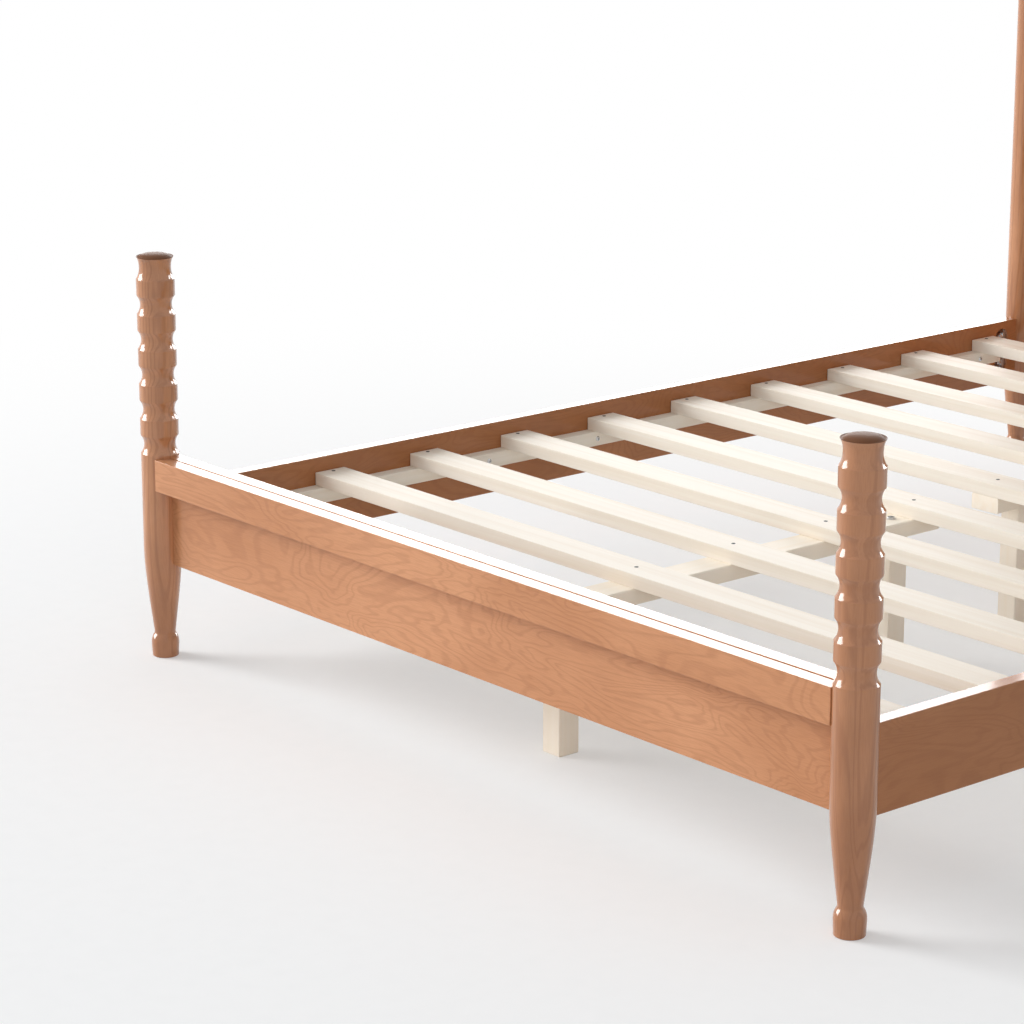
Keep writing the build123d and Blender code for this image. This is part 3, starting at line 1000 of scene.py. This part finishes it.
@dataclass(frozen=True)
class CentreSupport:
    """The centre beam's two lengths, their legs and the lag screws."""

    pine: PineFinish
    zinc: SteelFinish
    leg_count: int = 4
    head_radius: float = 7.0 * MM
    head_height: float = 3.6 * MM
    head_round: float = 1.2 * MM
    socket_radius: float = 4.8 * MM
    socket_depth: float = 3.2 * MM
    socket_edge: float = 0.4 * MM
    shank_radius: float = 4.0 * MM
    steps: int = 32

    def build(self) -> None:
        """Finish the beams and the legs, and build the lag screws."""
        # The beams and legs take the brighter, warmer pine, which is painted light under the deck
        beam_pine_painted_light = self.pine.material("pine_beam_painted_light", Grain.ALONG_Y)
        leg_pine_painted_light = self.pine.material("pine_leg_painted_light", Grain.ALONG_Z)
        for place in ("front", "rear"):
            Workshop.dress(f"centre_beam_{place}", beam_pine_painted_light)
        for number in range(1, self.leg_count + 1):
            Workshop.dress(f"centre_leg_{number}", leg_pine_painted_light)
        self.build_lag_screws()

    def build_lag_screws(self) -> None:
        """Turn the lag screws, whose heads stand on the beam over the legs."""
        low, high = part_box("lag_screws")
        places = []
        for number in range(1, self.leg_count + 1):
            leg_low, leg_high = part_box(f"centre_leg_{number}")
            middle = (leg_low + leg_high) / 2
            places.append(Matrix.Translation((middle.x, middle.y, high.z)))
        profile = Profile(0.0, -self.socket_depth)
        profile.line(self.socket_radius, -self.socket_depth)
        profile.line(self.socket_radius, -self.socket_edge)
        profile.bend((self.head_radius, 0.0), (self.head_radius, -self.head_round), steps=6)
        profile.line(self.head_radius, -self.head_height)
        profile.line(self.shank_radius, -self.head_height)
        profile.line(self.shank_radius, low.z - high.z)
        profile.line(0.0, low.z - high.z)
        zinc = self.zinc.material("zinc_lag_screw")
        screws = Workshop.repeated(Workshop.turned(profile.points, self.steps), places)
        Workshop.piece(screws, "turned_lag_screws", zinc, "zinc_steel", ("lag_screws",))


@dataclass(frozen=True)
class RailBolts:
    """Bolts, nuts and crescent washers in the rails' pockets."""

    zinc: SteelFinish

    def dress(self) -> None:
        """Give the fittings their finish."""
        bright = self.zinc.material("bright_zinc")
        for node in ("bed_bolts", "bed_nuts", "crescent_washers"):
            Workshop.dress(node, bright)


@dataclass(frozen=True)
class Softbox:
    """A rectangular lamp that the camera doesn't see."""

    name: str
    place: tuple
    target: tuple
    width: float
    height: float
    power: float
    lights_matte: bool = True
    shows_in_gloss: bool = True

    def hang(self) -> None:
        """Hang the lamp at its place and point it at its target."""
        lamp = bpy.data.lights.new(self.name, "AREA")
        lamp.shape = "RECTANGLE"
        lamp.size = self.width
        lamp.size_y = self.height
        lamp.energy = self.power
        box = bpy.data.objects.new(self.name, lamp)
        bpy.context.scene.collection.objects.link(box)
        box.visible_camera = False
        box.visible_diffuse = self.lights_matte
        box.visible_glossy = self.shows_in_gloss
        box.location = self.place
        aim = Vector(self.target) - Vector(self.place)
        box.rotation_euler = aim.to_track_quat("-Z", "Y").to_euler()


@dataclass(frozen=True)
class Studio:
    """White floor, soft lights and the photograph's camera."""

    floor: FloorFinish
    floor_radius: float = 40.0
    floor_segments: int = 96
    sky_at_horizon: float = 0.12
    sky_overhead: float = 0.68
    key: Softbox = Softbox("key_softbox", (-11.2, -7.4, 5.0), (0, 0, 0.2), 7.2, 8.2, 2020)
    fill: Softbox = Softbox(
        "fill_softbox", (6.8, -5.5, 2.6), (0, 0, 0.3), 4.0, 3.0, 120, shows_in_gloss=False
    )
    strip: Softbox = Softbox(
        "back_strip", (-5.2, 7.4, 2.5), (0, 0, 0.3), 13.0, 3.8, 1150, lights_matte=False
    )
    edge: Softbox = Softbox(
        "edge_softbox", (1.7, 8.0, 3.3), (0.4, -1.0, 0.5), 2.4, 3.6, 330, lights_matte=False
    )
    camera_place: tuple = (3.590, -3.975, 1.669)
    camera_yaw: float = 49.93
    camera_pitch: float = 15.24
    focal_pixels: float = 3337.5
    image_pixels: float = 1024.0
    sensor_mm: float = 36.0
    clip_end: float = 200.0

    def build(self) -> None:
        """Build the floor, the world, the lights and the camera."""
        self.build_floor()
        self.build_world()
        for softbox in (self.key, self.fill, self.strip, self.edge):
            softbox.hang()
        self.build_camera()

    def build_floor(self) -> None:
        """Lay a wide round floor under the bed."""
        mesh = bmesh.new()
        bmesh.ops.create_circle(
            mesh, cap_ends=True, segments=self.floor_segments, radius=self.floor_radius
        )
        data = bpy.data.meshes.new("studio_floor")
        mesh.to_mesh(data)
        mesh.free()
        data.materials.append(self.floor.material())
        floor = bpy.data.objects.new("studio_floor", data)
        bpy.context.scene.collection.objects.link(floor)

    def build_world(self) -> None:
        """Light the room from a sky that darkens to its horizon, and show it white to the camera."""
        nodes = NodeTree("studio_world", bpy.data.worlds)
        upward = nodes.add("SeparateXYZ", {0: nodes.add("TexCoord").outputs["Generated"]}).outputs["Z"]
        levels = {"Value": upward, "To Min": self.sky_at_horizon, "To Max": self.sky_overhead}
        sky = nodes.add("MapRange", levels).outputs[0]
        strength = nodes.math("MAXIMUM", sky, nodes.seen_by_eye())
        glow = nodes.add("Background", {"Color": WHITE, "Strength": strength})
        nodes.add("OutputWorld", {"Surface": glow.outputs[0]})
        bpy.context.scene.world = nodes.owner

    def build_camera(self) -> None:
        """Set the camera at the photograph's viewing angle."""
        lens = bpy.data.cameras.new("photo_camera")
        lens.sensor_width = self.sensor_mm
        lens.lens = self.focal_pixels / self.image_pixels * self.sensor_mm
        lens.clip_end = self.clip_end
        camera = bpy.data.objects.new("photo_camera", lens)
        bpy.context.scene.collection.objects.link(camera)
        camera.location = self.camera_place
        camera.rotation_euler = (
            math.pi / 2 - math.radians(self.camera_pitch), 0, math.radians(self.camera_yaw)
        )
        bpy.context.scene.camera = camera
        bpy.context.scene.view_settings.view_transform = "Standard"


def main() -> None:
    """Build and dress the bed, then light it."""
    logging.basicConfig(level=logging.INFO, format="%(name)s %(message)s")
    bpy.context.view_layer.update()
    Posts(POST_CHERRY).build()
    Boards(BOARD_CHERRY, SHADED_RAIL_CHERRY).build()
    SlatDeck(SLAT_PINE, SHADE_BLACK_STEEL, DOMED_ZINC).build()
    CentreSupport(BEAM_PINE_PAINTED_LIGHT, LAG_ZINC).build()
    RailBolts(BRIGHT_ZINC).dress()
    Studio(FloorFinish()).build()


if __name__ == "__main__":
    main()
